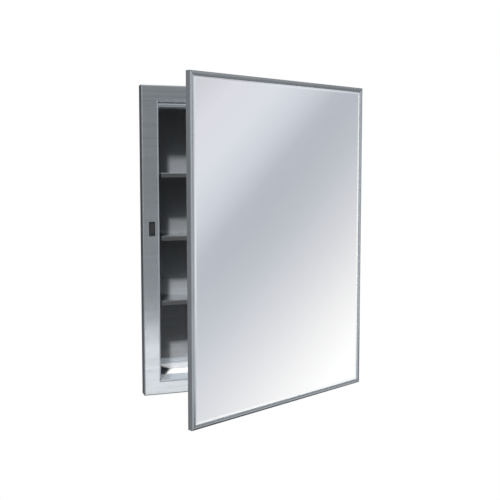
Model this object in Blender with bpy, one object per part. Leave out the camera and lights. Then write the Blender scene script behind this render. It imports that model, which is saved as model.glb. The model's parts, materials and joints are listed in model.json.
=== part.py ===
"""Recessed medicine cabinet: a sheet-steel box with a face flange, three loose shelves on pegs,
a magnetic catch, and a framed mirror door on a full-length hinge.

Metres, +Z up. The origin lies in the back panel's rear face, midway across and up the face flange.
+Y points into the wall, so the flange is in the plane y = -DEPTH, and the hinge is on the +X side.
"""

from math import atan2, cos, pi, radians, sin, sqrt

import bmesh
import bpy
from mathutils import Matrix, Vector

# Overall
FLANGE_W = 0.4445            # face flange, outside
FLANGE_H = 0.600
DEPTH = 0.089                # flange face to rear face of the back panel
SHEET = 0.001                # sheet thickness of the box, shelves and door frame
GAP = 0.0003                 # clearance between touching pieces
ROUND = 12                   # sides of small round pieces
BEND_STEPS = 4               # facets in a sheet's bend
TIP = 0.8                    # radius at a rounded end, as a share of the full radius
TIP_LENGTH = 0.0005
SMOOTH_BELOW = radians(30)
SAME_LEVEL = 1e-7

# Face flange
STILE = 0.0331               # width of its upright bands
TOP_RAIL = 0.0311            # width of its upper band
RAIL = 0.0285                # width of its lower band
RETURN = 0.0255              # depth of the outer return, back to the wall surface
LIP = 0.045                  # depth of the inner lip, which the box is welded round
OUTER_BEND = 0.002
INNER_BEND = 0.003

# Box
LIP_X = FLANGE_W / 2 - STILE                      # inner faces of the flange's side lips
WALL_X = LIP_X + SHEET + GAP                      # inner faces of the side panels
WALL_TOP = FLANGE_H / 2 - TOP_RAIL + SHEET + GAP  # inner face of the top panel
WALL_BOTTOM = RAIL - FLANGE_H / 2 - SHEET - GAP   # inner face of the bottom panel
WALL_FRONT = 0.0045          # front edges of the panels, behind the flange face
BACK_HEM = 0.010             # the back panel's rim, turned forward over the box
BACK_ROUND = 0.0009          # rounding of its rear edges
FIXING_Z = 0.200             # screw holes through the side panels into the wall studs
FIXING_DEPTH = 0.058
FIXING_R = 0.00325

# Shelves and pegs
SHELF_TOPS = (0.1335, 0.0098, -0.1180)
SHELF_W = 0.3738
SHELF_FRONT = 0.020          # set back from the flange face
SHELF_REAR = 0.087
SHELF_LIP = 0.0088
SHELF_BEND = 0.0013
PEG_DEPTHS = (0.031, 0.072)
PEG_R = 0.003
PEG_LENGTH = 0.008
COLLAR_R = 0.004
COLLAR = 0.0012
SHANK_R = 0.0023
SHANK_OUT = 0.002            # the shank's end stands this far out of the side panel
PEG_HOLE_R = 0.0026
HOLE_PITCH = 0.0254          # spare peg holes above and below each shelf

# Door
DOOR_W = 0.4537
DOOR_H = 0.6118
DOOR_T = 0.0124
DOOR_DROP = 0.0009           # the door's middle hangs this far below the flange's
DOOR_PAST = 0.0024           # the closed door reaches this far past the flange on the hinge side
DOOR_GAP = 0.0032            # between the flange face and the closed door's back
DOOR_OPEN = radians(25.4)    # opening at rest
FRAME_T = 0.0009             # sheet of the mirror frame
FACE = 0.0085                # width of the frame's crowned face
CREST = 0.0042               # highest line of the face, measured from the outer edge
FACE_EDGE = 0.0114           # height of the face at its outer and inner edges
FRAME_BENDS = (0.0008, 0.0006, 0.0050, 0.0005)    # at its rear, outer, crown and inner corners
REAR_FLANGE = 0.014
MIRROR_EDGE = 0.0034         # mirror and backing stop this far inside the door's outline
MIRROR_BACK = 0.0052         # heights above the door's rear face
MIRROR_FRONT = 0.0102
PAD_BACK = 0.0033
PAD_FRONT = 0.0049
PLATE_BACK = 0.0020
PLATE_FRONT = 0.0030
KEY_LEG = 0.028
KEY_T = 0.0018
KEY_LOW = 0.0035             # the key's two edges, above the door's rear face
KEY_HIGH = 0.0090
KEY_SCREW_HEIGHT = 0.0062
KEY_SCREW_IN = 0.018
KEY_SCREW_SUNK = 0.00005     # the screw heads' depth below the rail's outer face
MITRE_TRIM = 0.0002          # taken off each mitred end along the piece

# Hinge
HINGE_L = 0.560
KNUCKLES = 22
PIN_R = 0.0015
CURL_END = radians(-155)     # where a leaf's curl round the pin stops
CURL_STEPS = 16
CURL_IN = 0.0018
CURL_OUT = 0.0028
PIN_HEAD_R = 0.0025
PIN_HEAD = 0.0010
LEAF_W = 0.0145
RIVET_ZS = (-0.255, -0.085, 0.085, 0.255)
RIVET_IN = 0.0080            # rivets, from the outer edge of the flange or door
RIVET_R = 0.0015
RIVET_HEAD_R = 0.0030
RIVET_GRIP = 0.0025          # under the head, through a leaf and the sheet behind it
TAIL_R = 0.0023
TAIL = 0.0005
PIN_X = FLANGE_W / 2 + DOOR_PAST + CURL_OUT + GAP
PIN_Y = -DEPTH - DOOR_GAP / 2

# Magnetic catch
CATCH_X = -FLANGE_W / 2 + 0.01745
CATCH_Z = 0.02715
BEZEL = (0.0113, 0.0265)
BEZEL_T = 0.0012
CATCH_BODY = (0.0093, 0.0245)
CATCH_DEPTH = 0.016
WELL = (0.0058, 0.0200)
WELL_DEPTH = 0.0125
POLE_T = 0.0010
MAGNET_T = 0.0024
MAGNET_BEVEL = 0.0002
POLE_PROUD = 0.0004
STRIKE = (0.0120, 0.0260)
STRIKE_BACK = -0.0009
STRIKE_BEVEL = 0.0004
STRIKE_RIVET = 0.0095        # rivets above and below the strike's centre


# ---------------------------------------------------------------- scene and materials

def clear_scene():
    for obj in list(bpy.data.objects):
        bpy.data.objects.remove(obj, do_unlink=True)


def material(name, colour, roughness, metallic):
    mat = bpy.data.materials.new(name)
    mat.use_nodes = True
    shader = mat.node_tree.nodes["Principled BSDF"]
    shader.inputs["Base Color"].default_value = (*colour, 1.0)
    shader.inputs["Roughness"].default_value = roughness
    shader.inputs["Metallic"].default_value = metallic
    mat.diffuse_color = (*colour, 1.0)
    return mat


def add(name, bm, mat, parent=None):
    """Make the mesh a closed, outward-facing object; parent is an empty at its own place."""
    bmesh.ops.recalc_face_normals(bm, faces=bm.faces)
    mesh = bpy.data.meshes.new(name)
    bm.to_mesh(mesh)
    bm.free()
    mesh.shade_smooth()
    mesh.set_sharp_from_angle(angle=SMOOTH_BELOW)
    obj = bpy.data.objects.new(name, mesh)
    if mat is not None:
        mesh.materials.append(mat)
    bpy.context.scene.collection.objects.link(obj)
    obj.parent = parent
    return obj


def cut(obj, bm):
    """Subtract the closed shapes in bm, which share the object's own space."""
    tool = add(obj.name + "_cutter", bm, None, obj.parent)
    tool.hide_render = True
    tool.display_type = "WIRE"
    modifier = obj.modifiers.new("holes", "BOOLEAN")
    modifier.operation = "DIFFERENCE"
    modifier.solver = "EXACT"
    modifier.object = tool


# ---------------------------------------------------------------- shapes

def box(bm, low, high):
    centre = (Vector(low) + Vector(high)) / 2
    size = Vector(high) - Vector(low)
    place = Matrix.Translation(centre) @ Matrix.Diagonal((*size, 1.0))
    return bmesh.ops.create_cube(bm, size=1.0, matrix=place)["verts"]


def block(low, high, bevel=0.0):
    bm = bmesh.new()
    box(bm, low, high)
    if bevel:
        bmesh.ops.bevel(bm, geom=bm.edges[:], offset=bevel, segments=2, affect="EDGES", profile=0.5)
    return bm


def turned(bm, profile, start, axis, sides=ROUND):
    """Turn (distance, radius) pairs about the axis that leaves start; both ends are closed."""
    axis = Vector(axis).normalized()
    side = axis.orthogonal().normalized()
    other = axis.cross(side)
    rings = []
    for distance, radius in profile:
        centre = Vector(start) + axis * distance
        angles = [2 * pi * (i + 0.5) / sides for i in range(sides)]
        rings.append([bm.verts.new(centre + (side * cos(a) + other * sin(a)) * radius) for a in angles])
    for near, far in zip(rings, rings[1:]):
        for i in range(sides):
            j = (i + 1) % sides
            bm.faces.new((near[i], near[j], far[j], far[i]))
    bm.faces.new(rings[0])
    bm.faces.new(rings[-1])


def bent_sheet(path, bends, thickness=SHEET):
    """Closed outline of a sheet whose middle line follows path, with a bend radius at each corner."""
    path = [Vector(p) for p in path]
    middle = [(path[0], (path[1] - path[0]).normalized())]
    for corner, radius, before, after in zip(path[1:-1], bends, path, path[2:]):
        come = (corner - before).normalized()
        go = (after - corner).normalized()
        turn = atan2(come.cross(go), come.dot(go))
        reach = radius * abs(sin(turn / 2) / cos(turn / 2))
        side = 1.0 if turn > 0 else -1.0
        centre = corner - come * reach + Vector((-come.y, come.x)) * radius * side
        for i in range(BEND_STEPS + 1):
            heading = Matrix.Rotation(turn * i / BEND_STEPS, 2) @ come
            middle.append((centre + Vector((heading.y, -heading.x)) * radius * side, heading))
    middle.append((path[-1], (path[-1] - path[-2]).normalized()))
    half = thickness / 2
    left = [p + Vector((-h.y, h.x)) * half for p, h in middle]
    right = [p - Vector((-h.y, h.x)) * half for p, h in middle]
    return left + right[::-1]


def loft(bm, loops, closed=False):
    """Skin equal loops of points; a closed loft joins the last loop to the first."""
    rings = [[bm.verts.new(p) for p in loop] for loop in loops]
    pairs = list(zip(rings, rings[1:]))
    if closed:
        pairs.append((rings[-1], rings[0]))
    else:
        bm.faces.new(rings[0])
        bm.faces.new(rings[-1])
    for near, far in pairs:
        for i in range(len(near)):
            j = (i + 1) % len(near)
            bm.faces.new((near[i], near[j], far[j], far[i]))


def extruded(outline, place, low, high):
    """Extrude an outline between two levels; place maps (u, v, level) to a point."""
    bm = bmesh.new()
    loft(bm, [[place(u, v, level) for u, v in outline] for level in (low, high)])
    return bm


def flush_rivet(profile_length, tail):
    """(distance, radius) of a countersunk rivet, from its flush head."""
    profile = [(0.0, RIVET_HEAD_R), (SHEET, RIVET_R), (profile_length, RIVET_R)]
    if tail:
        profile += [(profile_length, TAIL_R), (profile_length + TAIL, TAIL_R * TIP)]
    return profile


def countersink(bm, start, axis, length):
    """Cutter for a countersunk rivet: a cone through the first sheet and a plain hole behind it."""
    over = 0.0005
    head = RIVET_HEAD_R + GAP
    slope = (RIVET_HEAD_R - RIVET_R) / SHEET
    profile = [(-over, head + over * slope), (SHEET, RIVET_R + GAP), (length, RIVET_R + GAP)]
    turned(bm, profile, start, axis)


# ---------------------------------------------------------------- fixed box

def face_flange(mat):
    section = bent_sheet(
        [(SHEET / 2, RETURN), (SHEET / 2, SHEET / 2), (STILE - SHEET / 2, SHEET / 2),
         (STILE - SHEET / 2, LIP)],
        [OUTER_BEND, INNER_BEND])
    loops = []
    for sx, sz in ((-1, -1), (1, -1), (1, 1), (-1, 1)):
        loop = []
        rail = TOP_RAIL if sz > 0 else RAIL
        for across, depth in section:
            level = across if across < STILE / 2 else across - STILE + rail
            loop.append((sx * (FLANGE_W / 2 - across), depth - DEPTH, sz * (FLANGE_H / 2 - level)))
        loops.append(loop)
    bm = bmesh.new()
    loft(bm, loops, closed=True)
    flange = add("face_flange", bm, mat)
    holes = bmesh.new()
    half_w, half_h = CATCH_BODY[0] / 2 + GAP, CATCH_BODY[1] / 2 + GAP
    box(holes, (CATCH_X - half_w, -DEPTH - SHEET, CATCH_Z - half_h),
        (CATCH_X + half_w, -DEPTH + 2 * SHEET, CATCH_Z + half_h))
    for z in RIVET_ZS:
        turned(holes, [(-SHEET, RIVET_R + GAP), (2 * SHEET, RIVET_R + GAP)],
               (PIN_X - CURL_OUT - GAP - RIVET_IN, -DEPTH, z), (0, 1, 0))
    for side in (-1, 1):
        peg_holes(holes, side, PEG_DEPTHS[:1])
    cut(flange, holes)


def peg_z(top):
    return top - SHEET - GAP - PEG_R


def peg_holes(bm, side, depths):
    """Rows of three holes for each shelf, through a lip and the side panel outside it."""
    for top in SHELF_TOPS:
        for depth in depths:
            for step in (-1, 0, 1):
                turned(bm, [(-SHEET, PEG_HOLE_R), (4 * SHEET, PEG_HOLE_R)],
                       (side * LIP_X, depth - DEPTH, peg_z(top) + step * HOLE_PITCH), (side, 0, 0))


def side_panel(name, side, mat):
    outer = WALL_X + SHEET
    bm = block(*ordered((side * WALL_X, WALL_FRONT - DEPTH, WALL_BOTTOM - SHEET),
                        (side * outer, -SHEET - GAP, WALL_TOP + SHEET)))
    panel = add(name, bm, mat)
    holes = bmesh.new()
    peg_holes(holes, side, PEG_DEPTHS)
    for z in (-FIXING_Z, FIXING_Z):
        turned(holes, [(0.0, FIXING_R), (3 * SHEET, FIXING_R)],
               (side * (WALL_X - SHEET), FIXING_DEPTH - DEPTH, z), (side, 0, 0))
    cut(panel, holes)


def ordered(a, b):
    low = [min(p, q) for p, q in zip(a, b)]
    high = [max(p, q) for p, q in zip(a, b)]
    return low, high


def level_panel(name, low, mat):
    half = WALL_X - GAP
    add(name, block((-half, WALL_FRONT - DEPTH, low), (half, -SHEET - GAP, low + SHEET)), mat)


def back_panel(mat):
    """A tray: a flat back with its rim turned forward over the outside of the box."""
    around = 2 * SHEET + GAP
    half_x = WALL_X + around
    bm = block((-half_x, -BACK_HEM, WALL_BOTTOM - around), (half_x, 0.0, WALL_TOP + around))
    front = min(bm.faces, key=lambda face: face.calc_center_median().y)
    bmesh.ops.inset_region(bm, faces=[front], thickness=SHEET, use_even_offset=True)
    floor = bmesh.ops.extrude_face_region(bm, geom=[front])["geom"]
    bmesh.ops.delete(bm, geom=[front], context="FACES_ONLY")
    moved = [item for item in floor if isinstance(item, bmesh.types.BMVert)]
    bmesh.ops.translate(bm, verts=moved, vec=(0.0, BACK_HEM - SHEET, 0.0))
    rear = [edge for edge in bm.edges if all(v.co.y > -SHEET / 2 for v in edge.verts)]
    bmesh.ops.bevel(bm, geom=rear, offset=BACK_ROUND, segments=2, affect="EDGES", profile=0.5)
    add("back_panel", bm, mat)


def shelf(name, top, mat):
    half = SHEET / 2
    section = bent_sheet(
        [(SHELF_FRONT + half, top - SHELF_LIP), (SHELF_FRONT + half, top - half),
         (SHELF_REAR - half, top - half), (SHELF_REAR - half, top - SHELF_LIP)],
        [SHELF_BEND, SHELF_BEND])
    bm = extruded(section, lambda d, z, x: (x, d - DEPTH, z), -SHELF_W / 2, SHELF_W / 2)
    add(name, bm, mat)


def shelf_peg(name, side, depth, top, mat):
    """A shank through the wall, a collar against its inner face, and the pin the shelf sits on."""
    wall = LIP_X if depth < LIP else WALL_X
    tail = WALL_X + SHEET + SHANK_OUT
    collar = tail - wall + GAP
    pin = collar + COLLAR
    end = pin + PEG_LENGTH
    profile = [(0.0, SHANK_R * TIP), (TIP_LENGTH, SHANK_R), (collar, SHANK_R), (collar, COLLAR_R),
               (pin, COLLAR_R), (pin, PEG_R), (end - TIP_LENGTH, PEG_R), (end, PEG_R * TIP)]
    bm = bmesh.new()
    start = (side * tail, depth - DEPTH, peg_z(top))
    turned(bm, profile, start, (-side, 0, 0))
    add(name, bm, mat)


# ---------------------------------------------------------------- magnetic catch

def catch_housing(mat):
    """A bezel in front of the flange and a body behind it, with a well open at the front."""
    front = -DEPTH - GAP - BEZEL_T
    back = -DEPTH - GAP
    bm = block((CATCH_X - BEZEL[0] / 2, front, CATCH_Z - BEZEL[1] / 2),
               (CATCH_X + BEZEL[0] / 2, back, CATCH_Z + BEZEL[1] / 2))
    sink(bm, back, CATCH_BODY, CATCH_DEPTH)
    sink(bm, front, WELL, WELL_DEPTH)
    add("catch_housing", bm, mat)


def sink(bm, level, size, depth):
    """Shrink the face at this y level to size about the catch's centre and push it along +Y."""
    face = next(f for f in bm.faces if all(abs(v.co.y - level) < SAME_LEVEL for v in f.verts))
    inner = [bm.verts.new((CATCH_X + sign_of(v.co.x - CATCH_X) * size[0] / 2, level,
                           CATCH_Z + sign_of(v.co.z - CATCH_Z) * size[1] / 2)) for v in face.verts]
    deep = [bm.verts.new(v.co + Vector((0.0, depth, 0.0))) for v in inner]
    outer = list(face.verts)
    bm.faces.remove(face)
    count = len(outer)
    for i in range(count):
        j = (i + 1) % count
        bm.faces.new((outer[i], outer[j], inner[j], inner[i]))
        bm.faces.new((inner[i], inner[j], deep[j], deep[i]))
    bm.faces.new(deep)


def sign_of(value):
    return 1.0 if value > 0 else -1.0


def catch_insides(mat_magnet, mat_pole):
    front = -DEPTH - GAP - BEZEL_T
    floor = front + WELL_DEPTH - GAP
    half_h = WELL[1] / 2 - GAP
    half = MAGNET_T / 2
    bm = block((CATCH_X - half, front, CATCH_Z - half_h), (CATCH_X + half, floor, CATCH_Z + half_h),
               MAGNET_BEVEL)
    add("catch_magnet", bm, mat_magnet)
    for name, side in (("catch_pole_left", -1), ("catch_pole_right", 1)):
        near = CATCH_X + side * (half + GAP)
        far = near + side * POLE_T
        bm = block(*ordered((near, front - POLE_PROUD, CATCH_Z - half_h), (far, floor, CATCH_Z + half_h)))
        add(name, bm, mat_pole)


# ---------------------------------------------------------------- hinge

def leaf_outline():
    """Section of a leaf about the pin: a plate that curls most of the way round the pin."""
    near, far = GAP, GAP + SHEET
    start = pi - atan2(near, sqrt(CURL_OUT ** 2 - near ** 2))
    join = pi - atan2(far, sqrt(CURL_OUT ** 2 - far ** 2))
    tip = -(CURL_OUT + GAP + LEAF_W)
    shares = [i / CURL_STEPS for i in range(CURL_STEPS + 1)]
    inner = [start + (CURL_END - start) * share for share in shares]
    outer = [CURL_END + (join - CURL_END) * share for share in shares]
    points = [(tip, near)]
    points.append((CURL_OUT * cos(start), CURL_OUT * sin(start)))
    points += [(CURL_IN * cos(a), CURL_IN * sin(a)) for a in inner]
    points += [(CURL_OUT * cos(a), CURL_OUT * sin(a)) for a in outer]
    points.append((tip, far))
    return points


def hinge_leaf(name, side, first, mat, parent, rivet_axis):
    """side is +1 for the leaf on the flange and -1 for the leaf on the door, both about the pin."""
    bm = extruded(leaf_outline(), lambda u, v, z: (u, v * side, z), -HINGE_L / 2, HINGE_L / 2)
    leaf = add(name, bm, mat, parent)
    pitch = HINGE_L / KNUCKLES
    reach = 2 * CURL_OUT
    holes = bmesh.new()
    for i in range(first, KNUCKLES, 2):
        low = -HINGE_L / 2 + i * pitch
        ends = [low - GAP / 2, low + pitch + GAP / 2]
        if i == 0:
            ends[0] -= SHEET
        if i == KNUCKLES - 1:
            ends[1] += SHEET
        box(holes, (-CURL_OUT - GAP, -reach, ends[0]), (reach, reach, ends[1]))
    for z in RIVET_ZS:
        countersink(holes, (-CURL_OUT - GAP - RIVET_IN, side * GAP, z), rivet_axis, 2 * SHEET)
    cut(leaf, holes)


def hinge_pin(mat, parent):
    half = HINGE_L / 2 + GAP
    top = PIN_HEAD + 2 * half
    profile = [(0.0, PIN_HEAD_R * TIP), (TIP_LENGTH, PIN_HEAD_R), (PIN_HEAD, PIN_HEAD_R), (PIN_HEAD, PIN_R),
               (top, PIN_R), (top, PIN_HEAD_R), (top + PIN_HEAD - TIP_LENGTH, PIN_HEAD_R),
               (top + PIN_HEAD, PIN_HEAD_R * TIP)]
    bm = bmesh.new()
    turned(bm, profile, (0, 0, -half - PIN_HEAD), (0, 0, 1))
    add("hinge_pin", bm, mat, parent)


def hinge_rivets(stem, side, mat, parent):
    """Flush heads on the leaves' facing sides, tails behind the sheet that each leaf lies on."""
    for number, z in enumerate(RIVET_ZS, 1):
        bm = bmesh.new()
        start = (-CURL_OUT - GAP - RIVET_IN, side * GAP, z)
        turned(bm, flush_rivet(RIVET_GRIP, True), start, (0, side, 0))
        add(f"{stem}_{number}", bm, mat, parent)


# ---------------------------------------------------------------- door, closed, about the pin

def door_point(across, height, z):
    """across runs from the hinge edge to the free edge, height from the rear face to the front."""
    return (-CURL_OUT - GAP - across, -DOOR_GAP / 2 - height, z)


def door_level(side, inward):
    """The level this far inside the door's top edge, for side +1, or its bottom edge, for side -1."""
    return side * (DOOR_H / 2 - inward) - DOOR_DROP


def frame_section():
    half = FRAME_T / 2
    lip = MIRROR_FRONT + GAP
    path = [(REAR_FLANGE, half), (half, half), (half, FACE_EDGE - half), (CREST, DOOR_T - half),
            (FACE - half, FACE_EDGE - half), (FACE - half, lip)]
    return bent_sheet(path, FRAME_BENDS, thickness=FRAME_T)


def frame_stile(name, at_hinge, mat, parent):
    loops = []
    for end in (-1, 1):
        loop = []
        for inward, height in frame_section():
            across = inward if at_hinge else DOOR_W - inward
            loop.append(door_point(across, height, door_level(end, inward + MITRE_TRIM)))
        loops.append(loop)
    bm = bmesh.new()
    loft(bm, loops)
    stile = add(name, bm, mat, parent)
    if at_hinge:
        holes = bmesh.new()
        for z in RIVET_ZS:
            turned(holes, [(-SHEET, RIVET_R + GAP), (2 * SHEET, RIVET_R + GAP)],
                   door_point(RIVET_IN, 0.0, z), (0, -1, 0))
        cut(stile, holes)


def frame_rail(name, side, mat, parent):
    loops = []
    for end in (0, 1):
        loop = []
        for inward, height in frame_section():
            across = inward + MITRE_TRIM if end == 0 else DOOR_W - inward - MITRE_TRIM
            loop.append(door_point(across, height, door_level(side, inward)))
        loops.append(loop)
    bm = bmesh.new()
    loft(bm, loops)
    rail = add(name, bm, mat, parent)
    holes = bmesh.new()
    for across in key_screws():
        start = door_point(across, KEY_SCREW_HEIGHT, door_level(side, KEY_SCREW_SUNK))
        countersink(holes, start, (0, 0, -side), 2 * SHEET)
    cut(rail, holes)


def key_screws():
    return KEY_SCREW_IN, DOOR_W - KEY_SCREW_IN


def corner_key(name, side, at_hinge, mat, parent):
    """An L of flat bar along the insides of two frame pieces where they meet."""
    out, thin = SHEET + GAP, SHEET + GAP + KEY_T
    outline = [(out, out), (KEY_LEG, out), (KEY_LEG, thin), (thin, thin), (thin, KEY_LEG), (out, KEY_LEG)]

    def place(u, v, height):
        across = u if at_hinge else DOOR_W - u
        return door_point(across, height, door_level(side, v))

    key = add(name, extruded(outline, place, KEY_LOW, KEY_HIGH), mat, parent)
    across = KEY_SCREW_IN if at_hinge else DOOR_W - KEY_SCREW_IN
    holes = bmesh.new()
    turned(holes, [(0.0, RIVET_R + GAP), (2 * KEY_T, RIVET_R + GAP)],
           door_point(across, KEY_SCREW_HEIGHT, door_level(side, SHEET)), (0, 0, -side))
    cut(key, holes)


def corner_screw(name, side, across, mat, parent):
    bm = bmesh.new()
    start = door_point(across, KEY_SCREW_HEIGHT, door_level(side, KEY_SCREW_SUNK))
    turned(bm, flush_rivet(SHEET + GAP + KEY_T, False), start, (0, 0, -side))
    add(name, bm, mat, parent)


def door_sheet(name, back, front, mat, parent, holes_r=0.0):
    low, high = door_level(-1, MIRROR_EDGE), door_level(1, MIRROR_EDGE)
    ends = ordered(door_point(MIRROR_EDGE, back, low), door_point(DOOR_W - MIRROR_EDGE, front, high))
    sheet = add(name, block(*ends), mat, parent)
    if holes_r:
        holes = bmesh.new()
        for step in (-1, 1):
            turned(holes, [(0.0, holes_r), (front - back + 2 * SHEET, holes_r)],
                   strike_point(back - SHEET, step * STRIKE_RIVET), (0, -1, 0))
        cut(sheet, holes)


def strike_point(height, dz):
    """A point on the strike's centre line, opposite the catch when the door is closed."""
    return (CATCH_X - PIN_X, -DOOR_GAP / 2 - height, CATCH_Z + dz)


def strike_plate(mat, parent):
    x, y, z = strike_point(STRIKE_BACK, 0.0)
    top = strike_point(PLATE_BACK - GAP, 0.0)[1]
    bm = block((x - STRIKE[0] / 2, top, z - STRIKE[1] / 2), (x + STRIKE[0] / 2, y, z + STRIKE[1] / 2),
               STRIKE_BEVEL)
    plate = add("strike_plate", bm, mat, parent)
    holes = bmesh.new()
    for step in (-1, 1):
        countersink(holes, strike_point(STRIKE_BACK, step * STRIKE_RIVET), (0, -1, 0), 5 * SHEET)
    cut(plate, holes)


def strike_rivets(mat, parent):
    length = PLATE_FRONT + GAP - STRIKE_BACK
    for number, step in enumerate((-1, 1), 1):
        bm = bmesh.new()
        turned(bm, flush_rivet(length, True), strike_point(STRIKE_BACK, step * STRIKE_RIVET), (0, -1, 0))
        add(f"strike_rivet_{number}", bm, mat, parent)


# ---------------------------------------------------------------- assembly

def build_box():
    satin = material("satin_steel", (0.55, 0.56, 0.57), 0.34, 1.0)
    bright = material("box_steel", (0.62, 0.63, 0.64), 0.20, 1.0)
    face_flange(satin)
    side_panel("side_panel_left", -1, bright)
    side_panel("side_panel_right", 1, bright)
    level_panel("top_panel", WALL_TOP, bright)
    level_panel("bottom_panel", WALL_BOTTOM - SHEET, bright)
    back_panel(bright)
    shelf_steel = material("shelf_steel", (0.60, 0.61, 0.62), 0.28, 1.0)
    zinc = material("peg_zinc", (0.70, 0.70, 0.70), 0.35, 1.0)
    for number, top in enumerate(SHELF_TOPS, 1):
        shelf(f"shelf_{number}", top, shelf_steel)
        for hand, side in (("left", -1), ("right", 1)):
            for place, depth in zip(("front", "rear"), PEG_DEPTHS):
                shelf_peg(f"shelf_peg_{number}_{hand}_{place}", side, depth, top, zinc)


def build_catch():
    catch_housing(material("catch_black", (0.015, 0.016, 0.018), 0.45, 0.0))
    catch_insides(material("catch_ferrite", (0.05, 0.05, 0.055), 0.55, 0.0),
                  material("catch_pole_steel", (0.10, 0.10, 0.11), 0.40, 1.0))


def build_hinge(fixed, moving):
    steel = material("hinge_steel", (0.52, 0.53, 0.54), 0.35, 1.0)
    hinge_leaf("hinge_leaf_cabinet", 1, 1, steel, fixed, (0, 1, 0))
    hinge_leaf("hinge_leaf_door", -1, 0, steel, moving, (0, -1, 0))
    hinge_pin(material("pin_steel", (0.58, 0.58, 0.58), 0.25, 1.0), fixed)
    rivet = material("rivet_steel", (0.60, 0.60, 0.60), 0.30, 1.0)
    hinge_rivets("hinge_rivet_cabinet", 1, rivet, fixed)
    hinge_rivets("hinge_rivet_door", -1, rivet, moving)


def build_door(moving):
    frame = material("frame_steel", (0.48, 0.50, 0.52), 0.30, 1.0)
    frame_stile("door_stile_hinge", True, frame, moving)
    frame_stile("door_stile_free", False, frame, moving)
    frame_rail("door_rail_top", 1, frame, moving)
    frame_rail("door_rail_bottom", -1, frame, moving)
    key = material("key_steel", (0.45, 0.45, 0.45), 0.45, 1.0)
    screw = material("screw_steel", (0.60, 0.60, 0.60), 0.30, 1.0)
    for level, side in (("bottom", -1), ("top", 1)):
        for hand, at_hinge, across in (("hinge", True, key_screws()[0]), ("free", False, key_screws()[1])):
            corner_key(f"corner_key_{level}_{hand}", side, at_hinge, key, moving)
            corner_screw(f"corner_screw_{level}_{hand}", side, across, screw, moving)
    door_sheet("mirror_glass", MIRROR_BACK, MIRROR_FRONT, material("mirror", (0.9, 0.91, 0.92), 0.02, 1.0),
               moving)
    door_sheet("mirror_backing_pad", PAD_BACK, PAD_FRONT, material("backing_pad", (0.20, 0.18, 0.15), 0.9, 0.0),
               moving, TAIL_R + 2 * GAP)
    door_sheet("door_back_plate", PLATE_BACK, PLATE_FRONT, material("back_plate", (0.56, 0.57, 0.58), 0.4, 1.0),
               moving, RIVET_R + GAP)
    strike_plate(material("strike_steel", (0.5, 0.5, 0.5), 0.35, 1.0), moving)
    strike_rivets(screw, moving)


def main():
    clear_scene()
    fixed = bpy.data.objects.new("hinge_line", None)
    moving = bpy.data.objects.new("door_swing", None)
    for empty in (fixed, moving):
        empty.location = (PIN_X, PIN_Y, 0.0)
        bpy.context.scene.collection.objects.link(empty)
    moving.rotation_euler = (0.0, 0.0, DOOR_OPEN)
    build_box()
    build_catch()
    build_hinge(fixed, moving)
    build_door(moving)


main()
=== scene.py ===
"""The looks of a stainless steel medicine cabinet with a mirrored door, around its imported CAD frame."""

import json
import math

import bmesh
import bpy
from mathutils import Matrix, Vector

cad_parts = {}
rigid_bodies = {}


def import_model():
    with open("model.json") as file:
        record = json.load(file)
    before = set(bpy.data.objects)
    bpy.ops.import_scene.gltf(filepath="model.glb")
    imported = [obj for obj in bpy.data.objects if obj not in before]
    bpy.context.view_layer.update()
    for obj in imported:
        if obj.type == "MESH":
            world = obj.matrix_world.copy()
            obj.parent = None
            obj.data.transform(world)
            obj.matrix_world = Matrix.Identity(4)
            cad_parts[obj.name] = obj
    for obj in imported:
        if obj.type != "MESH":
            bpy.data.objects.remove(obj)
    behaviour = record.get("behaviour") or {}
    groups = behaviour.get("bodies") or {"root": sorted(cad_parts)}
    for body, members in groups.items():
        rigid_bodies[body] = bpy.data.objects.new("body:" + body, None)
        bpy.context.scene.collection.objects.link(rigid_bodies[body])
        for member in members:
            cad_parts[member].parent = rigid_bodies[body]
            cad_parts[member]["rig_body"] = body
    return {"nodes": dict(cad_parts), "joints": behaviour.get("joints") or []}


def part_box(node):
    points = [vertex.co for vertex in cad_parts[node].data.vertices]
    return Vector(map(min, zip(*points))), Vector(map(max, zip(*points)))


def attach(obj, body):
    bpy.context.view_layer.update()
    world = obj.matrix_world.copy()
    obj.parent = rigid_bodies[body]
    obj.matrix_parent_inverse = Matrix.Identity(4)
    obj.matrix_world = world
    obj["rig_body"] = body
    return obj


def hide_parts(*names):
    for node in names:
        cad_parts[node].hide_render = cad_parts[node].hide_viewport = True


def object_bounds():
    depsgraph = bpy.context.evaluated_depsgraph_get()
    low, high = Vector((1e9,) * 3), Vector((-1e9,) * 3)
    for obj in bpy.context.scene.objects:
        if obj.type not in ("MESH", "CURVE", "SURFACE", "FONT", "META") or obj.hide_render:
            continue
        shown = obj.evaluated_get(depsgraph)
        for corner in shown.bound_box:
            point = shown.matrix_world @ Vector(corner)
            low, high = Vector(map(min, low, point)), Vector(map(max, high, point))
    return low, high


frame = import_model()
CAD_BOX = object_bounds()

MM = 0.001
HINGE = next(j for j in frame["joints"] if j["name"] == "door_hinge")
PIN = Vector(HINGE["pos_m"])
DOOR_OPEN = -math.radians(HINGE["range_deg"][0])
DOOR_TURN = Matrix.Rotation(DOOR_OPEN, 4, "Z")
TO_ROW = Matrix.Translation(PIN) @ DOOR_TURN
TO_DOOR = TO_ROW.inverted()


# ---------------------------------------------------------------- node graphs


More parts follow.
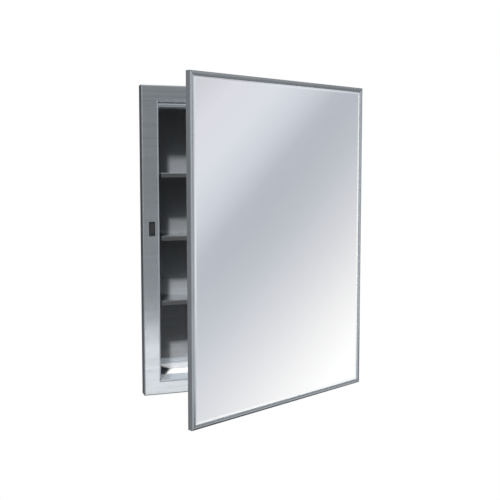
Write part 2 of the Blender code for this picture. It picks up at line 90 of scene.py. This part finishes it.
class Graph:
    """A node tree with one short call for each kind of node used below."""

    def __init__(self, tree):
        self.tree = tree
        tree.nodes.clear()

    def node(self, kind, *inputs, **settings):
        made = self.tree.nodes.new(kind)
        for key, value in settings.items():
            setattr(made, key, value)
        for place, value in enumerate(inputs):
            self.plug(made.inputs[place], value)
        return made

    def plug(self, socket, value):
        if value is None:
            return
        if isinstance(value, bpy.types.Node):
            value = next(s for s in value.outputs if s.enabled)
        if isinstance(value, bpy.types.NodeSocket):
            self.tree.links.new(value, socket)
        else:
            socket.default_value = value

    def maths(self, operation, a, b=None, clamp=False):
        return self.node("ShaderNodeMath", a, b, operation=operation, use_clamp=clamp)

    def vector(self, operation, a, b):
        return self.node("ShaderNodeVectorMath", a, b, operation=operation)

    def noise(self, place, scale, detail=2.0, rough=0.5):
        made = self.node("ShaderNodeTexNoise", place)
        made.inputs["Scale"].default_value = scale
        made.inputs["Detail"].default_value = detail
        made.inputs["Roughness"].default_value = rough
        return made

    def spread(self, value, low, high, to_low=0.0, to_high=1.0, smooth=True):
        """value from low to high as to_low to to_high, held at both ends."""
        kind = "SMOOTHSTEP" if smooth else "LINEAR"
        made = self.node("ShaderNodeMapRange", value, low, high, to_low, to_high)
        made.interpolation_type = kind
        return made

    def mix(self, share, first, second):
        made = self.node("ShaderNodeMix", data_type="RGBA")
        self.plug(made.inputs["Factor"], share)
        self.plug(made.inputs["A"], first)
        self.plug(made.inputs["B"], second)
        return made.outputs["Result"]

    def axes(self, place):
        return self.node("ShaderNodeSeparateXYZ", place).outputs

    def ramp(self, value, stops):
        """Colours along value, from (place, (red, green, blue)) stops in screen values from 0 to 255."""
        made = self.node("ShaderNodeValToRGB", value)
        points = made.color_ramp.elements
        while len(points) < len(stops):
            points.new(0.5)
        for point, (place, rgb) in zip(points, stops):
            point.position = place
            point.color = screen(*rgb)
        return made


def screen(red, green, blue):
    """A linear colour from screen values between 0 and 255."""
    linear = [
        c / 12.92 if c <= 0.04045 else ((c + 0.055) / 1.055) ** 2.4
        for c in (red / 255, green / 255, blue / 255)
    ]
    return (*linear, 1.0)


def grey(value):
    return (value, value, value, 1.0)


# Grain is in cells per metre, along and across the brushing. EDGE_TURN is the dot product of the
# rounded and the true normal, where an edge begins and where it is full. WELD_RIM and WELD_HALO are
# distances from a weld's middle, where the dimple and the heat tint begin and where they are full.
FINE_GRAIN = (20, 2600)
BROAD_GRAIN = (5, 300)
EDGE_TURN = (0.998, 0.93)
# The steel's lighter edge colour below is partly real wear and partly a painted edge highlight.
WEAR_AND_GLINT_STEEL = (226, 229, 231)
WORN_ZINC = (228, 230, 232)
HEAT_TINT = (120, 112, 104)
WELD_PITCH = 56 * MM
WELD_RIM = (2.4 * MM, 1.7 * MM)
WELD_HALO = (5.5 * MM, 2.2 * MM)
DIMPLE_DEPTH = 6.0


class Finish(Graph):
    """A material on one Principled shader, whose coordinates lie in the cabinet or along the door."""

    def __init__(self, name, on_door=False):
        self.material = bpy.data.materials.new(name)
        self.material.use_nodes = True
        super().__init__(self.material.node_tree)
        self.shader = self.node("ShaderNodeBsdfPrincipled")
        self.node("ShaderNodeOutputMaterial", self.shader)
        self.place = self.node("ShaderNodeTexCoord").outputs["Object"]
        if on_door:
            shift, turn = TO_DOOR.to_translation(), TO_DOOR.to_euler()
            self.place = self.node("ShaderNodeMapping", self.place, shift, turn[:])

    def set(self, **values):
        for name, value in values.items():
            self.plug(self.shader.inputs[name.replace("_", " ")], value)

    def stretched(self, along, across, axis):
        """Coordinates for a grain that runs along axis."""
        scale = [across] * 3
        scale["XYZ".index(axis)] = along
        return self.vector("MULTIPLY", self.place, scale)

    def bump(self, height, strength, distance):
        made = self.node("ShaderNodeBump")
        made.inputs["Strength"].default_value = strength
        made.inputs["Distance"].default_value = distance
        self.plug(made.inputs["Height"], height)
        return made

    def edges(self, radius):
        """1 on the edges of the shape and 0 on its faces."""
        rounded = self.node("ShaderNodeBevel", samples=4)
        rounded.inputs["Radius"].default_value = radius
        true = self.node("ShaderNodeNewGeometry").outputs["Normal"]
        dot = self.vector("DOT_PRODUCT", rounded, true).outputs["Value"]
        return self.spread(dot, *EDGE_TURN)


def shaded(colour, factor):
    """The colour of these screen values, lighter or darker by this factor."""
    return screen(*(min(255, c * factor) for c in colour))


def brushed(
    name,
    colour,
    axis,
    metal=0.8,
    rough=0.16,
    on_door=False,
    streaky=1.0,
    wear_and_glint=0.5,
    welds=None,
    painted_fill=None,
):
    """Steel brushed along axis: fine scratches over broad streaks, handling marks, and lighter edges that
    are partly real wear and partly a painted edge highlight.

    With levels for a painted fill light as (high level, low level, metal above, metal below), it is less
    metallic towards the low level, so the lamps light it brighter there.
    """
    f = Finish(name, on_door)
    fine = f.noise(f.stretched(*FINE_GRAIN, axis), scale=1.0, detail=3.0, rough=0.7)
    streak = f.noise(f.stretched(*BROAD_GRAIN, axis), scale=1.0, detail=2.0, rough=0.6)
    marks = f.noise(f.place, scale=14.0, detail=4.0, rough=0.6)
    tone = f.maths("ADD", f.maths("MULTIPLY", fine, 0.65), f.maths("MULTIPLY", streak, 0.35))
    dark = shaded(colour, 1 - 0.06 * streaky)
    light = shaded(colour, 1 + 0.05 * streaky)
    steel = f.mix(f.spread(tone, 0.36, 0.64), dark, light)
    cloud = f.spread(marks, 0.45, 0.75, 0.0, 0.3)
    steel = f.mix(cloud, steel, shaded(colour, 0.93))
    # Lighter edges: partly real wear, partly a painted edge highlight.
    wear_and_glint_edges = f.maths("MULTIPLY", f.edges(0.6 * MM), wear_and_glint)
    steel = f.mix(wear_and_glint_edges, steel, screen(*WEAR_AND_GLINT_STEEL))
    gloss = f.spread(tone, 0.3, 0.7, rough + 0.03, rough - 0.02)
    gloss = f.maths("ADD", gloss, f.maths("MULTIPLY", cloud, 0.1))
    height = tone
    # Painted fill light: less metallic towards the low level, so the lamps light the lower part brighter.
    if painted_fill:
        metal = f.spread(f.axes(f.place)["Z"], *painted_fill)
    if welds:
        ring, dimple = spots(f, *welds)
        steel = f.mix(ring, steel, screen(*HEAT_TINT))
        height = f.maths("SUBTRACT", tone, f.maths("MULTIPLY", dimple, DIMPLE_DEPTH))
    f.set(Base_Color=steel, Metallic=metal, Roughness=gloss)
    f.set(Normal=f.bump(height, strength=0.25, distance=0.02 * MM))
    return f.material


def spots(f, run, across, rows):
    """Resistance welds along the axis called run, on each row given as a place on the axis across."""
    axes = dict(zip("XYZ", f.axes(f.place)))
    along = f.maths("SUBTRACT", f.maths("PINGPONG", axes[run], WELD_PITCH / 2), WELD_PITCH / 4)
    nearest = None
    for row in rows:
        off = f.maths("SUBTRACT", axes[across], row)
        square = f.maths("ADD", f.maths("MULTIPLY", off, off), f.maths("MULTIPLY", along, along))
        apart = f.maths("SQRT", square)
        nearest = apart if nearest is None else f.maths("MINIMUM", nearest, apart)
    inside = f.spread(nearest, *WELD_RIM)
    halo = f.spread(nearest, *WELD_HALO, 0.0, 0.45)
    ring = f.maths("SUBTRACT", halo, f.maths("MULTIPLY", inside, 0.25), clamp=True)
    return ring, inside


# ------------------------------------------------------------------- camera

CAMERA_AT = (-0.4929, -1.5835, 0.1454)
CAMERA_DOWN = math.radians(4.93)
CAMERA_RIGHT = math.radians(18.02)
SENSOR_WIDTH = 36.0
FOCAL_LENGTH = 56.8
SHIFT_UP = -0.0304

lens = bpy.data.cameras.new("camera")
lens.sensor_width = SENSOR_WIDTH
lens.lens = FOCAL_LENGTH
lens.shift_y = SHIFT_UP
camera = bpy.data.objects.new("camera", lens)
camera.location = CAMERA_AT
camera.rotation_euler = (math.pi / 2 - CAMERA_DOWN, 0.0, -CAMERA_RIGHT)
bpy.context.collection.objects.link(camera)
bpy.context.scene.camera = camera
bpy.context.scene.view_settings.view_transform = "Standard"


# ---------------------------------------------- sheets of the door, as finer pieces

# In millimetres: the bevel's width, and the bead's section as (inset, depth). The corner radius at an
# inset is what it lacks to BEAD_CORNER.
CORNER_STEPS = 6
SILVER, BEVELLED, EDGE, PAINT = range(4)
BEVEL = 9.2
BEAD_CORNER = 82
BEAD = ((64, 0.0), (63, -0.35), (62, -0.7), (60.5, -0.8), (59, -0.7), (58, -0.35), (57, 0.0))


def hide_from(made, *kinds):
    """Hides an object from these kinds of rays."""
    for kind in kinds:
        setattr(made, "visible_" + kind, False)


def door_box(node):
    """Lowest and highest corner of a CAD node on the door, in door coordinates."""
    points = [TO_DOOR @ vertex.co for vertex in frame["nodes"][node].data.vertices]
    return [Vector([pick(p[i] for p in points) for i in range(3)]) for pick in (min, max)]


def rounded_loop(low, high, inset, radius, y):
    """Points of a rounded rectangle at depth y, this far inside the box from low to high."""
    reach = inset + radius
    right, left = high.x - reach, low.x + reach
    top, bottom = high.z - reach, low.z + reach
    points = []
    for quarter, (x, z) in enumerate(((right, top), (left, top), (left, bottom), (right, bottom))):
        for step in range(CORNER_STEPS + 1):
            angle = math.pi / 2 * (quarter + step / CORNER_STEPS)
            points.append((x + radius * math.cos(angle), y, z + radius * math.sin(angle)))
    return points


def door_sheet(name, node, rings, front, materials, smooth_below):
    """A closed sheet for a CAD node on the door, lofted from the middle of its rear face to its front.

    Each ring is (inset, corner radius, depth below the rear face, material of the band up to it),
    in millimetres. Creases sharper than smooth_below degrees stay sharp.
    """
    low, high = door_box(node)
    bm = bmesh.new()
    loops = []
    for inset, radius, depth, _ in rings:
        loop = rounded_loop(low, high, inset * MM, radius * MM, high.y - depth * MM)
        loops.append([bm.verts.new(point) for point in loop])
    bm.faces.new(loops[0]).material_index = rings[0][3]
    bm.faces.new(loops[-1]).material_index = front
    for near, far, ring in zip(loops, loops[1:], rings[1:]):
        for i in range(len(near)):
            j = (i + 1) % len(near)
            bm.faces.new((near[i], near[j], far[j], far[i])).material_index = ring[3]
    bmesh.ops.recalc_face_normals(bm, faces=bm.faces)
    mesh = bpy.data.meshes.new(name)
    bm.to_mesh(mesh)
    bm.free()
    mesh.shade_smooth()
    mesh.set_sharp_from_angle(angle=math.radians(smooth_below))
    for material in materials:
        mesh.materials.append(material)
    piece = bpy.data.objects.new(name, mesh)
    piece.matrix_world = TO_ROW
    bpy.context.collection.objects.link(piece)
    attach(piece, "door")
    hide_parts(node)
    hide_from(piece, "glossy")


def mirror_silver():
    """Silvered glass, with a trace of haze."""
    f = Finish("mirror_silver")
    haze = f.noise(f.place, scale=30.0, detail=4.0, rough=0.6)
    tint = f.mix(f.spread(haze, 0.4, 0.7, 0.0, 0.25), grey(0.965), (0.945, 0.96, 0.955, 1.0))
    f.set(Base_Color=tint, Metallic=1.0, Roughness=f.spread(haze, 0.35, 0.75, 0.006, 0.02))
    return f.material


def ground_bevel():
    """The mirror's polished bevel, silvered like the rest, with the last fine marks of its grinding."""
    f = Finish("ground_bevel")
    streak = f.noise(f.place, scale=900.0, detail=2.0)
    chip = f.noise(f.place, scale=120.0, detail=3.0)
    white = f.mix(f.spread(streak, 0.3, 0.7), (0.93, 0.95, 0.96, 1.0), (0.97, 0.985, 0.99, 1.0))
    f.set(Base_Color=white, Metallic=0.85, Roughness=f.spread(chip, 0.35, 0.65, 0.05, 0.16))
    f.set(Normal=f.bump(streak, strength=0.05, distance=0.01 * MM))
    return f.material


def glass_edge():
    """The green edge of float glass, with the marks of its grinding."""
    f = Finish("glass_edge")
    mark = f.noise(f.stretched(40, 900, "Z"), scale=1.0, detail=3.0)
    green = f.mix(f.spread(mark, 0.3, 0.7), (0.10, 0.19, 0.16, 1.0), (0.22, 0.34, 0.30, 1.0))
    f.set(Base_Color=green, Roughness=f.spread(mark, 0.3, 0.7, 0.12, 0.35))
    f.set(Normal=f.bump(mark, strength=0.3, distance=0.05 * MM))
    return f.material


def backing_paint():
    """The grey paint over the silver on the mirror's back, with a faint orange peel."""
    f = Finish("backing_paint")
    peel = f.noise(f.place, scale=700.0, detail=2.0)
    cloud = f.noise(f.place, scale=25.0, detail=4.0)
    paint = f.mix(f.spread(cloud, 0.35, 0.65), (0.13, 0.15, 0.16, 1.0), (0.18, 0.20, 0.21, 1.0))
    f.set(Base_Color=paint, Roughness=f.spread(peel, 0.3, 0.7, 0.4, 0.55))
    f.set(Normal=f.bump(peel, strength=0.3, distance=0.05 * MM))
    return f.material


def plated(name, colour, crystal, rough, on_door=False):
    """Zinc over steel: crystals about this wide of differing tone and gloss, dull clouds, worn edges."""
    f = Finish(name, on_door)
    warp = f.noise(f.place, scale=0.6 / crystal, detail=2.0).outputs["Color"]
    bent = f.vector("MULTIPLY_ADD", warp, [crystal] * 3)
    f.plug(bent.inputs[2], f.place)
    cells = f.node("ShaderNodeTexVoronoi", bent)
    cells.inputs["Scale"].default_value = 1 / crystal
    share = f.axes(cells.outputs["Color"])["X"]
    cloud = f.noise(f.place, scale=18.0, detail=4.0, rough=0.6)
    zinc = f.mix(share, shaded(colour, 0.95), shaded(colour, 1.04))
    zinc = f.mix(f.spread(cloud, 0.45, 0.8, 0.0, 0.4), zinc, shaded(colour, 0.86))
    zinc = f.mix(f.maths("MULTIPLY", f.edges(0.5 * MM), 0.6), zinc, screen(*WORN_ZINC))
    gloss = f.spread(share, 0.0, 1.0, rough - 0.02, rough + 0.04)
    f.set(Base_Color=zinc, Metallic=0.85, Roughness=gloss)
    fine = f.noise(f.place, scale=1500.0, detail=2.0)
    height = f.maths("ADD", share, f.maths("MULTIPLY", fine, 0.5))
    f.set(Normal=f.bump(height, strength=0.12, distance=0.03 * MM))
    return f.material


door_sheet(
    "mirror_pane",
    "mirror_glass",
    rings=(
        (0.5, 1.0, 0.0, PAINT),
        (0.0, 1.5, 0.5, EDGE),
        (0.0, 1.5, 4.1, EDGE),
        (BEVEL, 0.5, 5.0, BEVELLED),
    ),
    front=SILVER,
    materials=(mirror_silver(), ground_bevel(), glass_edge(), backing_paint()),
    smooth_below=2,
)
door_sheet(
    "back_plate_panel",
    "door_back_plate",
    rings=(
        *((inset, BEAD_CORNER - inset, depth, 0) for inset, depth in BEAD),
        (0.3, 1.2, 0.0, 0),
        (0.0, 1.5, 0.3, 0),
        (0.0, 1.5, 1.0, 0),
    ),
    front=0,
    materials=(plated("galvanised", (186, 189, 191), 7 * MM, 0.3),),
    smooth_below=30,
)


# ------------------------------------------------------- floor, sky and lights

FLOOR_SIDE = 60.0
FLOOR_BELOW = 0.35

# The card lies this far beyond the eye, and is this many times larger than what the mirror shows of
# it. Its glow fades from this share of its half width to its end. The stops are places across the
# mirror, from 0 at its top left corner to 1 at its bottom right one, along slanting bands.
CARD_BEYOND = 1.0
CARD_MARGIN = 16.0
CARD_FADE = 0.45
CARD_SLANT = 0.64
CARD_STOPS = (
    (-2.40, (226, 228, 232)),
    (-1.40, (190, 194, 202)),
    (-0.60, (218, 220, 226)),
    (0.00, (202, 203, 208)),
    (0.10, (222, 222, 230)),
    (0.19, (221, 224, 231)),
    (0.27, (206, 210, 219)),
    (0.335, (186, 190, 199)),
    (0.38, (183, 187, 196)),
    (0.47, (190, 195, 202)),
    (0.61, (213, 214, 219)),
    (0.76, (236, 236, 237)),
    (0.90, (252, 252, 252)),
    (1.10, (252, 252, 252)),
    (1.45, (226, 229, 234)),
    (1.90, (192, 197, 205)),
    (2.60, (222, 225, 230)),
)

# Glow of the room in front, of the floor below it and of the wall behind. The rest are parts of a
# direction, where the floor and the wall begin and are full: Z for the floor, Y for the wall, Z for
# the wall's darker foot, and X for its dark corner and how far that reaches aside.
SKY_GLOW = 0.012
FLOOR_GLOW = 0.08
REAR_GLOW = 0.42
FLOOR_FROM = (-0.05, -0.3)
WALL_FROM = (0.45, 0.85)
WALL_FOOT = (-0.6, 0.7)
FOOT_SHARE = 0.35
DARK_CORNER = -0.26
CORNER_REACH = (0.14, 0.32)
SKY_TINT = (0.97, 0.985, 1.0, 1.0)

KEY_AT = (-1.45, -2.99, 3.80)
KEY_RADIUS = 0.17
SUN_WIDTH = math.radians(4.0)

WHITE = (1.0, 1.0, 1.0)
COOL = (0.98, 0.99, 1.0)
WARM = (1.0, 0.965, 0.93)
WARMER = (1.0, 0.93, 0.86)
INTO_WALL = (0, 1, 0)
BELOW = (0, 0, -1)

STILE_HINGE = ["door_stile_hinge"]
STILE_FREE = ["door_stile_free"]
RAILS = ["door_rail_top", "door_rail_bottom"]
LOW_RAIL = ["door_rail_bottom"]
FLANGE = ["face_flange"]
RIGHT_SIDE = ["face_flange", "side_panel_right", "hinge_leaf_cabinet", "hinge_pin"]


def glowing(name, lets_through=False):
    """A material that gives light of its own, with its graph and its glow."""
    material = bpy.data.materials.new(name)
    material.use_nodes = True
    g = Graph(material.node_tree)
    glow = g.node("ShaderNodeEmission")
    surface = glow
    if lets_through:
        surface = g.node("ShaderNodeAddShader", glow, g.node("ShaderNodeBsdfTransparent"))
    g.node("ShaderNodeOutputMaterial", surface)
    return material, g, glow


def sheet_object(name, width, height, material):
    """A flat sheet about its own centre, in its own XY plane."""
    x, y = width / 2, height / 2
    mesh = bpy.data.meshes.new(name)
    mesh.from_pydata([(-x, -y, 0), (x, -y, 0), (x, y, 0), (-x, y, 0)], [], [(0, 1, 2, 3)])
    mesh.materials.append(material)
    made = bpy.data.objects.new(name, mesh)
    bpy.context.collection.objects.link(made)
    return made


def studio_floor():
    """A pale floor below the cabinet, evenly lit. The steel mirrors the sky's floor glow instead."""
    material, _, _ = glowing("studio_floor")
    floor = sheet_object("studio_floor", FLOOR_SIDE, FLOOR_SIDE, material)
    floor.location = (0, 0, CAD_BOX[0].z - FLOOR_BELOW)
    hide_from(floor, "diffuse", "glossy", "transmission", "volume_scatter", "shadow")


def gradient_card():
    """A broad graded softbox, parallel to the open door's mirror, which fills its reflection.

    Light meant for other pieces passes through it.
    """
    low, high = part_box("mirror_glass")
    middle = (low + high) / 2
    right = DOOR_TURN @ Vector((1, 0, 0))
    front = DOOR_TURN @ Vector((0, -1, 0))
    width = (high.x - low.x) / right.x
    height = high.z - low.z
    eye = Vector(CAMERA_AT)
    reach = (eye - middle).dot(front)
    behind = eye - 2 * reach * front
    grow = (reach + CARD_BEYOND) / reach
    shown_width, shown_height = grow * width, grow * height
    half = shown_width * CARD_MARGIN / 2

    material, g, glow = glowing("gradient_card", lets_through=True)
    place = g.axes(g.node("ShaderNodeTexCoord").outputs["Object"])
    u = g.maths("DIVIDE", place["X"], shown_width)
    v = g.maths("DIVIDE", place["Y"], -shown_height)
    slope = g.maths("ADD", g.maths("MULTIPLY", u, CARD_SLANT), v)
    centre = (1 + CARD_SLANT) / 2
    across = g.maths("DIVIDE", g.maths("ADD", slope, centre), 1 + CARD_SLANT)
    first, last = CARD_STOPS[0][0], CARD_STOPS[-1][0]
    stops = [((at - first) / (last - first), rgb) for at, rgb in CARD_STOPS]
    g.plug(glow.inputs["Color"], g.ramp(g.spread(across, first, last, smooth=False), stops))
    aside = g.maths("ABSOLUTE", place["X"])
    g.plug(glow.inputs["Strength"], g.spread(aside, CARD_FADE * half, half, 1.0, 0.0))

    card = sheet_object(
        "gradient_card", shown_width * CARD_MARGIN, shown_height * CARD_MARGIN, material
    )
    card.matrix_world = (
        Matrix.Translation(behind + (middle - behind) * grow)
        @ DOOR_TURN
        @ Matrix.Rotation(math.pi / 2, 4, "X")
    )
    hide_from(card, "camera", "diffuse", "transmission", "volume_scatter", "shadow")
    return card


def studio_sky():
    """White to the eye; to the steel, a dim room over a paler floor, and a soft pale wall behind it.

    The wall has a dark corner, which the flange's left side mirrors to the camera.
    """
    world = bpy.data.worlds.new("studio")
    bpy.context.scene.world = world
    world.use_nodes = True
    g = Graph(world.node_tree)
    axes = g.axes(g.node("ShaderNodeTexCoord").outputs["Generated"])
    front = g.spread(axes["Z"], *FLOOR_FROM, SKY_GLOW, FLOOR_GLOW)
    rear = g.spread(axes["Y"], *WALL_FROM, 0.0, REAR_GLOW)
    rear = g.maths("MULTIPLY", rear, g.spread(axes["Z"], *WALL_FOOT, FOOT_SHARE, 1.0))
    aside = g.maths("ABSOLUTE", g.maths("SUBTRACT", axes["X"], DARK_CORNER))
    rear = g.maths("MULTIPLY", rear, g.spread(aside, *CORNER_REACH))
    glow = g.maths("ADD", front, rear)
    around = g.node("ShaderNodeBackground", SKY_TINT, glow)
    behind = g.node("ShaderNodeBackground", grey(1.0), 1.0)
    seen = g.node("ShaderNodeLightPath").outputs["Is Camera Ray"]
    g.node("ShaderNodeOutputWorld", g.node("ShaderNodeMixShader", seen, around, behind))


def only_on(light, names, unblocked=False):
    """The light reaches these objects alone, and with unblocked nothing stands in its way."""
    lit = bpy.data.collections.new(light.name + "_lit")
    for name in names:
        lit.objects.link(bpy.data.objects[name])
    light.light_linking.receiver_collection = lit
    if unblocked:
        clear = bpy.data.collections.new(light.name + "_clear")
        clear.objects.link(bpy.data.objects["studio_floor"])
        light.light_linking.blocker_collection = clear


def area(name, glow, size, place, towards, names, tint=COOL):
    """A rectangle of light of radiance glow, mirrored by these CAD nodes, with nothing in its way."""
    width, height = size
    lamp = bpy.data.lights.new(name, "AREA")
    lamp.shape = "RECTANGLE"
    lamp.size, lamp.size_y = width, height
    lamp.energy = glow * math.pi * width * height
    lamp.color = tint
    made = bpy.data.objects.new(name, lamp)
    made.location = place
    made.rotation_euler = Vector(towards).to_track_quat("-Z", "Y").to_euler()
    hide_from(made, "camera", "diffuse")
    bpy.context.collection.objects.link(made)
    only_on(made, names, unblocked=True)


def round_lamp(name, irradiance, names=None, tint=WHITE):
    """A round lamp at the key light's place, which gives this irradiance at the cabinet.

    With names it lights these CAD nodes alone, and they don't mirror it.
    """
    lamp = bpy.data.lights.new(name, "POINT")
    lamp.shadow_soft_size = KEY_RADIUS
    lamp.energy = irradiance * 4 * math.pi * Vector(KEY_AT).length_squared
    lamp.color = tint
    made = bpy.data.objects.new(name, lamp)
    made.location = KEY_AT
    bpy.context.collection.objects.link(made)
    if names:
        hide_from(made, "glossy")
        only_on(made, names)


def matt_sun(name, energy, source, names):
    """A sun from this direction, scattered but not mirrored by these CAD nodes, with nothing in its way."""
    lamp = bpy.data.lights.new(name, "SUN")
    lamp.energy = energy
    lamp.angle = SUN_WIDTH
    made = bpy.data.objects.new(name, lamp)
    made.rotation_euler = Vector(source).to_track_quat("Z", "Y").to_euler()
    hide_from(made, "glossy")
    bpy.context.collection.objects.link(made)
    only_on(made, names, unblocked=True)


studio_floor()
only_on(gradient_card(), ["mirror_pane"])
studio_sky()

# Each card: radiance, (width, height), place, direction it shines in, pieces that mirror it, tint.
area("floor_card", 1.13, (1.1, 1.0), (-0.08, -1.8, -1.02), INTO_WALL, FLANGE, WARM)
area("low_card", 0.06, (1.4, 0.6), (0.15, -1.8, -0.35), INTO_WALL, FLANGE)
area("high_card", 0.03, (1.4, 0.8), (0.15, -1.8, -0.15), INTO_WALL, FLANGE)
area("right_card", 0.45, (0.9, 1.6), (0.75, -1.25, 0.0), (-0.6, 0.8, 0.0), STILE_FREE + FLANGE)
area("left_card", 0.45, (0.9, 1.6), (-1.35, -1.25, 0.0), (0.6, 0.8, 0.0), FLANGE)
area("inner_card", 0.70, (1.2, 1.8), (1.8, 0.0, 0.0), (-1, -0.1, 0), STILE_FREE)
area("hinge_card", 0.60, (1.0, 1.8), (1.38, -1.04, 0.0), (-0.77, 0.64, 0), STILE_HINGE)
area("edge_card", 0.62, (1.0, 1.8), (1.7, 0.25, 0.4), (-1, -0.2, 0), STILE_HINGE)
area("rail_card", 0.20, (1.6, 4.0), (2.6, -0.9, 0.0), (-1, 0.3, 0), RAILS)
area("low_rail_card", 0.42, (1.6, 0.9), (2.2, -0.8, -1.1), (-1, 0.3, 0.4), LOW_RAIL)
area("sill_card", 1.60, (1.6, 0.9), (2.2, -0.8, 1.1), (-1, 0.3, -0.4), LOW_RAIL)
area("side_card", 0.24, (2.6, 2.6), (2.6, 0.5, 0.3), (-1, -0.1, 0), RIGHT_SIDE)
round_lamp("key", 6.9)
round_lamp("well_fill", 38.0, ["bottom_panel"], WARMER)
matt_sun("lip_fill", 6.8, (-0.012, 0, 1), FLANGE)
matt_sun("eave_fill", 4.0, BELOW, FLANGE)
matt_sun("ceiling_fill", 20.0, BELOW, ["top_panel"])


# ------------------------------------------------------------------ materials


def coat(material, *names):
    """Gives CAD nodes this material."""
    for name in names:
        for slot in frame["nodes"][name].material_slots:
            slot.material = material


def members(stem):
    """The CAD nodes whose names begin like this."""
    return sorted(name for name in frame["nodes"] if name.startswith(stem))


def moulded_black():
    """Black moulded plastic with a fine grain."""
    f = Finish("moulded_black")
    grain = f.noise(f.place, scale=1800.0, detail=2.0)
    cloud = f.noise(f.place, scale=90.0, detail=3.0)
    base = f.mix(cloud, (0.006, 0.0065, 0.007, 1.0), (0.016, 0.017, 0.018, 1.0))
    f.set(Base_Color=base, Roughness=f.spread(grain, 0.3, 0.7, 0.34, 0.5))
    f.set(Normal=f.bump(grain, strength=0.25, distance=0.04 * MM))
    return f.material


def ferrite():
    """Sintered ferrite: near black, with fine pits and a dusty face."""
    f = Finish("ferrite")
    grain = f.noise(f.place, scale=2600.0, detail=3.0, rough=0.7)
    dust = f.noise(f.place, scale=300.0, detail=3.0)
    base = f.mix(f.spread(dust, 0.4, 0.7), (0.003, 0.003, 0.0032, 1.0), (0.012, 0.012, 0.0125, 1.0))
    f.set(Base_Color=base, Roughness=f.spread(grain, 0.3, 0.7, 0.5, 0.75))
    f.set(Normal=f.bump(grain, strength=0.5, distance=0.06 * MM))
    return f.material


def fibre_board():
    """Brown-grey pressed fibre, flecked and matt."""
    f = Finish("fibre_board", on_door=True)
    fibre = f.noise(f.stretched(250, 1400, "X"), scale=1.0, detail=4.0, rough=0.7)
    fleck = f.noise(f.place, scale=500.0, detail=2.0)
    base = f.mix(f.spread(fibre, 0.35, 0.65), (0.10, 0.083, 0.062, 1.0), (0.23, 0.20, 0.155, 1.0))
    base = f.mix(f.spread(fleck, 0.62, 0.72, 0.0, 0.7), base, (0.05, 0.042, 0.034, 1.0))
    f.set(Base_Color=base, Roughness=f.spread(fibre, 0.3, 0.7, 0.8, 0.95))
    f.set(Normal=f.bump(fibre, strength=0.5, distance=0.08 * MM))
    return f.material


FLANGE_STEEL = (199, 206, 213)
BOX_STEEL = (203, 207, 211)
STRIP_STEEL = (196, 198, 200)
RIVET_STEEL = (204, 205, 206)
# The back panel's painted fill light: levels and metal values that make its lower part less metallic, so
# the lamps light the lower wall brighter.
BACK_PAINTED_FILL = (0.02, -0.16, 0.8, 0.69)
WELD_ROWS = (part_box("side_panel_left")[1].y - 5 * MM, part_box("face_flange")[0].y + 36 * MM)

coat(brushed("satin_steel", FLANGE_STEEL, "X", rough=0.16, streaky=1.2), "face_flange")
coat(
    brushed("side_steel", BOX_STEEL, "Z", rough=0.2, welds=("Z", "Y", WELD_ROWS)),
    "side_panel_left",
    "side_panel_right",
)
coat(
    brushed("level_steel", BOX_STEEL, "X", rough=0.15, welds=("X", "Y", WELD_ROWS)),
    "top_panel",
    "bottom_panel",
)
coat(brushed("back_steel", BOX_STEEL, "X", rough=0.045, painted_fill=BACK_PAINTED_FILL), "back_panel")
coat(brushed("shelf_steel", BOX_STEEL, "X", metal=0.93, rough=0.18), "shelf_1", "shelf_2", "shelf_3")
coat(
    brushed("stile_steel", FLANGE_STEEL, "Z", rough=0.2, on_door=True, wear_and_glint=0.25),
    "door_stile_hinge",
    "door_stile_free",
)
coat(
    brushed("rail_steel", FLANGE_STEEL, "X", rough=0.2, on_door=True, wear_and_glint=0.25),
    "door_rail_top",
    "door_rail_bottom",
)
coat(moulded_black(), "catch_housing")
coat(ferrite(), "catch_magnet")
coat(brushed("pole_steel", (96, 98, 102), "Y", rough=0.3, wear_and_glint=0.8), *members("catch_pole"))
coat(fibre_board(), "mirror_backing_pad")
coat(plated("peg_zinc_plate", (196, 199, 203), 1.2 * MM, 0.28), *members("shelf_peg"))
coat(plated("key_zinc_plate", (176, 178, 178), 2.5 * MM, 0.36, on_door=True), *members("corner_key"))
coat(brushed("hinge_strip", STRIP_STEEL, "Z", rough=0.22), "hinge_leaf_cabinet")
coat(brushed("hinge_strip_door", STRIP_STEEL, "Z", rough=0.22, on_door=True), "hinge_leaf_door")
coat(brushed("drawn_pin", (204, 206, 208), "Z", rough=0.16, wear_and_glint=0.8), "hinge_pin")
coat(brushed("rivet_face", RIVET_STEEL, "Z", rough=0.2, wear_and_glint=0.9), *members("hinge_rivet_cabinet"))
coat(
    brushed("rivet_face_door", RIVET_STEEL, "Z", rough=0.2, wear_and_glint=0.9, on_door=True),
    *members("hinge_rivet_door"),
    *members("strike_rivet"),
    *members("corner_screw"),
)
coat(brushed("strike_face", (188, 187, 184), "Z", rough=0.24, wear_and_glint=0.9, on_door=True), "strike_plate")

# The steel doesn't mirror the door, and the ceiling and the flange neither block nor give scattered
# light.
for node in frame["nodes"].values():
    if node["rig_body"] == "door":
        hide_from(node, "glossy")
for name in ("top_panel", "face_flange"):
    hide_from(frame["nodes"][name], "diffuse")
